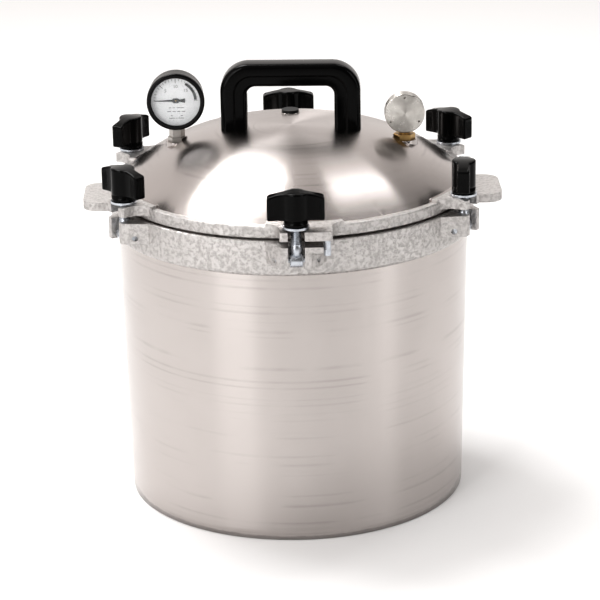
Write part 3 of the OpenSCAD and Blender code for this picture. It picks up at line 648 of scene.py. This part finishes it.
def handle_surface(foot, top, sizes):
    """Section carried round the arch from one foot to the other.

    The outer and inner outlines have matching stretches: leg, corner, bar, corner, leg.
    A section point's first value is its share of the way from outer to inner outline, and
    its second is its place front to back.
    """
    corner_points, leg_points, bar_points = 18, 24, 30

    def path(w, high, r):
        """One outline, up the left leg, over the top and down the right leg."""
        t = np.linspace(0, math.pi / 2, corner_points)
        rise = np.linspace(foot, high - r, leg_points)[:-1]
        left = np.stack([np.full(len(rise), -w), rise], axis=1)
        corner_l = np.stack([-w + r - r * np.cos(t), high - r + r * np.sin(t)], axis=1)
        across = np.linspace(-w + r, w - r, bar_points)[1:-1]
        bar_line = np.stack([across, np.full(len(across), high)], axis=1)
        half = np.vstack([left, corner_l])
        return np.vstack([half, bar_line, half[::-1] * (-1, 1)])

    outer = path(HANDLE_HALF, top, ARCH_OUT_R)
    inner = path(HANDLE_HALF - HANDLE_LEG, top - HANDLE_BAR, ARCH_IN_R)
    deep, zone, drop = HANDLE_DEEP / 2, sizes.handle_zone, sizes.handle_step
    front = [(0, -deep), (zone, -deep), (zone + drop, -deep + drop), (HANDLE_BAR, -deep + drop)]
    back = [(x, -y) for x, y in reversed(front)]
    soft = [sizes.handle_edge, ZONE_TOP, ZONE_FOOT, GRIP_EDGE]
    section = rounded(front + back, soft + soft[::-1])
    share, y = section[:, 0] / HANDLE_BAR, section[:, 1]
    x = outer[:, None, 0] + share[None] * (inner - outer)[:, None, 0]
    z = outer[:, None, 1] + share[None] * (inner - outer)[:, None, 1]
    return x, np.broadcast_to(y, x.shape), z


# ---------- gauge ----------

BEZEL_FACE = 4.1 * MM
BEZEL_WALL = 1.08 * MM
BEZEL_LIP = 2.55 * MM
BEZEL_OPENING_EDGE, BEZEL_BACK_EDGE, BEZEL_LIP_EDGE = 0.7 * MM, 0.3 * MM, 0.2 * MM
TICK_OUT_R, TICK_IN_R, LONG_TICK_IN_R = 20.2 * MM, 18.2 * MM, 16.4 * MM
# angles are in degrees
TICKS, TICK_STEP, TICK_FIRST = 21, 9, 180
TICK_HALF, LONG_TICK_HALF = 0.4, 0.7
ARC_OUT_R, ARC_IN_R = 19.2 * MM, 16.7 * MM
ARC_LOW, ARC_HIGH = 2, 60
NUMBER_R, NUMBER_HIGH = 13 * MM, 4.2 * MM
RULE_HIGH = 0.5 * MM
MARK_SUNK = 0.02 * MM
# plain rules stand in for small print; each has its left end, height and length in millimetres
RULES = ((-6.5, -7, 2.2), (-3, -7, 2), (0.6, -7, 6.5),
         (-8, -10.5, 3.5), (-3.4, -10.5, 3), (0.8, -10.5, 3), (5, -10.5, 3.4),
         (-5, -14.5, 2), (4, -14.5, 2),
         (-6.5, -16.8, 5), (-0.4, -16.8, 1.4), (2, -16.8, 5))


# ---------- operators ----------

class BuildStep(bpy.types.Operator):
    """Shared settings of the operators."""

    bl_options = {"REGISTER", "UNDO"}


OWN_FINISH = {"lid": "lid_aluminium", "gauge_stem": "plated_stem"}


class CANNER_OT_finishes(BuildStep):
    """Gives every CAD piece that stays in view its finish"""

    bl_idname = "canner.finishes"
    bl_label = "Finishes"

    def execute(self, context):
        made = finishes()
        for row in frame["record"]["subparts"]:
            mesh = frame["nodes"][row["node"]].data
            slot = OWN_FINISH.get(row["node"], row["material_slot"])
            mesh.materials.clear()
            mesh.materials.append(made[slot])
        return {"FINISHED"}


class CANNER_OT_wing_nuts(BuildStep):
    """Six moulded wing nuts with rounded edges and ribbed wing ends"""

    bl_idname = "canner.wing_nuts"
    bl_label = "Wing nuts"

    def execute(self, context):
        sizes = context.scene.canner_sizes
        made = finishes()
        for key in CLAMPS:
            low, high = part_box("wing_nut_" + key)
            shell = wing_nut_surface(middle("nut_insert_" + key), wing_heading(key), low.z,
                                     high.z, sizes)
            piece("moulded_wing_nut_" + key, [shell], made["black_phenolic"], "nut_" + key,
                  "black_phenolic", "wing_nut_" + key)
        return {"FINISHED"}


class CANNER_OT_swing_bolts(BuildStep):
    """Six swing bolts: a forged eye round the hinge pin and a threaded shank"""

    bl_idname = "canner.swing_bolts"
    bl_label = "Swing bolts"

    def execute(self, context):
        sizes = context.scene.canner_sizes
        made = finishes()
        for key in CLAMPS:
            low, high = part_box("swing_bolt_" + key)
            at = middle("nut_insert_" + key)
            pivot = np.array([at[0], at[1], low.z + EYE_R])
            heading = math.atan2(at[1], at[0])
            pin_way = (-math.sin(heading), math.cos(heading), 0.0)
            profile = rounded([(EYE_HOLE_R, -EYE_HALF), (EYE_R, -EYE_HALF), (EYE_R, EYE_HALF),
                               (EYE_HOLE_R, EYE_HALF)],
                              [HOLE_EDGE, EYE_EDGE, EYE_EDGE, HOLE_EDGE], steps=4)
            eye = lathe(profile, pivot, pin_way, segments=64)
            foot = pivot + np.array([0, 0, SHANK_UP])
            shank = threaded_shank(foot, high.z - foot[2], sizes)
            piece("threaded_bolt_" + key, [eye, shank], made["zinc_steel"], "bolt_" + key,
                  "zinc_steel", "swing_bolt_" + key)
        return {"FINISHED"}


class CANNER_OT_handle(BuildStep):
    """The moulded lid handle, soft on its outer edges and stepped on both faces"""

    bl_idname = "canner.handle"
    bl_label = "Handle"

    def execute(self, context):
        sizes = context.scene.canner_sizes
        low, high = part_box("lid_handle")
        x, y, z = handle_surface(low.z - FOOT_SUNK, high.z, sizes)
        c, s = math.cos(HANDLE_TURN), math.sin(HANDLE_TURN)
        points = np.stack([c * x - s * y, s * x + c * y, z], axis=-1)
        piece("moulded_handle", [wrapped_surface(points)], finishes()["black_phenolic"], "lid",
              "black_phenolic", "lid_handle")
        return {"FINISHED"}


class CANNER_OT_gauge(BuildStep):
    """The gauge's rounded bezel and the marks printed on its dial"""

    bl_idname = "canner.gauge"
    bl_label = "Gauge"

    def execute(self, context):
        sizes = context.scene.canner_sizes
        self.bezel(sizes)
        self.marks(sizes)
        return {"FINISHED"}

    def bezel(self, sizes):
        """A ring profile turned about the gauge's axis."""
        low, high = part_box("gauge_bezel")
        outer = (high.x - low.x) / 2
        deep = high.y - low.y
        opening, seat = outer - BEZEL_FACE, outer - BEZEL_WALL
        profile = rounded([(opening, 0), (outer, 0), (outer, -deep), (seat, -deep),
                           (seat, -BEZEL_LIP), (opening, -BEZEL_LIP)],
                          [BEZEL_OPENING_EDGE, sizes.bezel_edge, BEZEL_BACK_EDGE, 0, 0,
                           BEZEL_LIP_EDGE])
        centre = middle("gauge_bezel")
        origin = np.array([centre[0], low.y, centre[2]])
        piece("rounded_bezel", [lathe(profile, origin, (0, -1, 0), segments=128)],
              finishes()["black_enamel"], "lid", "black_enamel", "gauge_bezel")

    def marks(self, sizes):
        """Ticks, warning arc, plain rules and numbers, each a thin plate on the dial."""
        centre = middle("gauge_dial")
        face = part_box("gauge_dial")[0].y
        lift = sizes.mark_lift
        origin = np.array([centre[0], face, centre[2]])

        def plate(outline):
            """Outline in the dial's plane, given thickness."""
            flat = np.asarray(outline)
            rows = [np.stack([flat[:, 0], np.full(len(flat), y), flat[:, 1]], axis=1)
                    for y in (MARK_SUNK, -lift)]
            return wrapped_surface(np.array(rows) + origin)

        def sector(inner, outer, start, end, count=24):
            """Band between two radii and two angles in degrees."""
            a = np.radians(np.linspace(start, end, count))
            ring = np.stack([np.cos(a), np.sin(a)], axis=1)
            return np.vstack([ring * outer, ring[::-1] * inner])

        def rule(x, z, width, high):
            """Upright rectangle from its lower left corner."""
            return [(x, z), (x + width, z), (x + width, z + high), (x, z + high)]

        shells = self.ticks(plate, sector) + self.warning_arc(plate, sector)
        for x, z, width in RULES:
            shells.append(plate(rule(x * MM, z * MM, width * MM, RULE_HIGH)))
        black = finishes()["black_enamel"]
        marks = piece("dial_marks", shells, black, "lid", "black_enamel")
        marks.data.shade_flat()
        self.numbers(origin, lift, black)

    def ticks(self, plate, sector):
        """One tick each 9 degrees from nine o'clock over the top, longer at each fifth."""
        out = []
        for k in range(TICKS):
            at = TICK_FIRST - TICK_STEP * k
            inner, half = (TICK_IN_R, TICK_HALF) if k % 5 else (LONG_TICK_IN_R, LONG_TICK_HALF)
            out.append(plate(sector(inner, TICK_OUT_R, at - half, at + half, 3)))
        return out

    def warning_arc(self, plate, sector):
        """The thick arc at the scale's upper end, as short overlapping plates."""
        step, overlap = 4.0, 0.1
        return [plate(sector(ARC_IN_R, ARC_OUT_R, start, min(start + step + overlap, ARC_HIGH), 4))
                for start in np.arange(ARC_LOW, ARC_HIGH, step)]

    def numbers(self, origin, lift, finish):
        """Plain scale numbers, set as text and made a mesh in place."""
        for value, at in ((5, 135), (10, 90), (15, 45)):
            name = "scale_number_%d" % value
            curve = bpy.data.curves.new(name, "FONT")
            curve.body = str(value)
            curve.size = NUMBER_HIGH
            curve.align_x, curve.align_y = "CENTER", "CENTER"
            curve.extrude = lift / 2
            text = bpy.data.objects.new(name, curve)
            bpy.context.scene.collection.objects.link(text)
            bpy.context.view_layer.update()
            mesh = bpy.data.meshes.new_from_object(text)
            bpy.data.objects.remove(text)
            a = math.radians(at)
            place = Vector((origin[0] + NUMBER_R * math.cos(a), origin[1] - lift / 2,
                            origin[2] + NUMBER_R * math.sin(a)))
            mesh.transform(Matrix.Translation(place) @ Matrix.Rotation(math.pi / 2, 4, "X"))
            show(name, mesh, finish, "lid", "black_enamel")


FLOOR_REACH = 14.0
LIGHT_AIM = Vector((0, 0, 0.2))
# each light has its place, width, height and power
LIGHTS = (
    ("left_box", (-1.25, -1.56, 0.9), 0.9, 1.5, 11),
    ("right_box", (1.71, -1.03, 0.9), 0.5, 1.5, 6),
    ("left_strip", (-0.95, -1.76, 1.3), 0.06, 1.2, 3),
    ("right_strip", (1.45, -1.38, 1.3), 0.06, 1.2, 3),
    ("top_left_box", (-0.62, 0.62, 2.2), 0.9, 0.9, 31),
    ("top_right_box", (0.8, 0.6, 2.2), 0.25, 0.9, 5),
)
DIM_WAY = (0.85, -0.53, 0.0)
ROOM_PALE, ROOM_DIM = 0.85, 0.12
CAMERA_PLACE = Vector((5.19, -2268.5, 959.3)) * MM
CAMERA_DOWN = math.radians(19.06)
CAMERA_ROLL = -0.018
CAMERA_TURN = math.radians(-0.92)
LENS, SENSOR = 153.198, 36.0


class CANNER_OT_stage(BuildStep):
    """Pale floor, soft lights and the camera"""

    bl_idname = "canner.stage"
    bl_label = "Stage"

    def execute(self, context):
        self.floor()
        self.lights()
        self.camera(context)
        context.scene.view_settings.view_transform = "Standard"
        context.scene.view_settings.look = "Medium High Contrast"
        return {"FINISHED"}

    def floor(self):
        """A wide flat sheet just under the pot, matt and nearly white."""
        made, tree, place = blank("Floor, matt white")
        cloud = add(tree, "TexNoise", {"Vector": place, "Scale": 1 / 0.6, "Detail": 2.0})
        tone = add(tree, "Mix", {0: cloud, 6: linear("#fbfbfb"), 7: linear("#f7f7f7")},
                   data_type="RGBA").outputs[2]
        close(tree, {"Base Color": tone, "Roughness": 0.85})
        corners = [(x * FLOOR_REACH, y * FLOOR_REACH, 0)
                   for x, y in ((-1, -1), (1, -1), (1, 1), (-1, 1))]
        mesh = bpy.data.meshes.new("floor")
        mesh.from_pydata(corners, [], [(0, 1, 2, 3)])
        mesh.materials.append(made)
        floor = bpy.data.objects.new("floor", mesh)
        bpy.context.scene.collection.objects.link(floor)

    def lights(self):
        """Boxes and thin strips beside the camera, and two boxes overhead that fan out."""
        world = bpy.data.worlds.new("Room")
        bpy.context.scene.world = world
        world.use_nodes = True
        tree = world.node_tree
        # the room is dim towards the front right and pale the other way
        way = add(tree, "TexCoord").outputs["Generated"]
        dim_side = add(tree, "VectorMath", {0: way, 1: DIM_WAY},
                       operation="DOT_PRODUCT").outputs["Value"]
        strength = add(tree, "MapRange", {0: dim_side, 1: -0.2, 2: 0.6, 3: ROOM_PALE,
                                          4: ROOM_DIM})
        room = tree.nodes["Background"]
        room.inputs["Color"].default_value = linear("#fffaf7")
        tree.links.new(strength.outputs[0], room.inputs["Strength"])
        for name, place, wide, high, power in LIGHTS:
            data = bpy.data.lights.new(name, "AREA")
            data.shape, data.size, data.size_y, data.energy = "RECTANGLE", wide, high, power
            light = bpy.data.objects.new(name, data)
            light.location = place
            aim = LIGHT_AIM - Vector(place)
            light.rotation_euler = aim.to_track_quat("-Z", "Y").to_euler()
            bpy.context.scene.collection.objects.link(light)

    def camera(self, context):
        """A long lens from the front, a little above, and rolled by a degree."""
        forward = Vector((0, math.cos(CAMERA_DOWN), -math.sin(CAMERA_DOWN)))
        level_up = Vector((0, math.sin(CAMERA_DOWN), math.cos(CAMERA_DOWN)))
        level_right = Vector((1, 0, 0))
        right = level_right * math.cos(CAMERA_ROLL) + level_up * math.sin(CAMERA_ROLL)
        up = level_up * math.cos(CAMERA_ROLL) - level_right * math.sin(CAMERA_ROLL)
        spin = Matrix.Rotation(CAMERA_TURN, 3, "Z")
        axes = Matrix([spin @ right, spin @ up, spin @ -forward]).transposed()
        data = bpy.data.cameras.new("camera")
        data.sensor_width = SENSOR
        data.lens = LENS
        camera = bpy.data.objects.new("camera", data)
        camera.matrix_world = Matrix.Translation(spin @ CAMERA_PLACE) @ axes.to_4x4()
        context.scene.collection.objects.link(camera)
        context.scene.camera = camera


class CANNER_PT_panel(bpy.types.Panel):
    """Lists the build steps"""

    bl_idname = "CANNER_PT_panel"
    bl_label = "Pressure canner"
    bl_space_type = "VIEW_3D"
    bl_region_type = "UI"
    bl_category = "Canner"

    def draw(self, context):
        for step in STEPS:
            self.layout.operator(step.bl_idname)


STEPS = (CANNER_OT_finishes, CANNER_OT_wing_nuts, CANNER_OT_swing_bolts, CANNER_OT_handle,
         CANNER_OT_gauge, CANNER_OT_stage)
CLASSES = (CannerSizes, CannerColours, *STEPS, CANNER_PT_panel)


def register():
    for each in CLASSES:
        bpy.utils.register_class(each)
    bpy.types.Scene.canner_sizes = bpy.props.PointerProperty(type=CannerSizes)
    bpy.types.Scene.canner_colours = bpy.props.PointerProperty(type=CannerColours)


def unregister():
    del bpy.types.Scene.canner_colours
    del bpy.types.Scene.canner_sizes
    for each in reversed(CLASSES):
        bpy.utils.unregister_class(each)


def main():
    register()
    for step in STEPS:
        area, name = step.bl_idname.split(".")
        getattr(getattr(bpy.ops, area), name)()


if __name__ == "__main__":
    main()
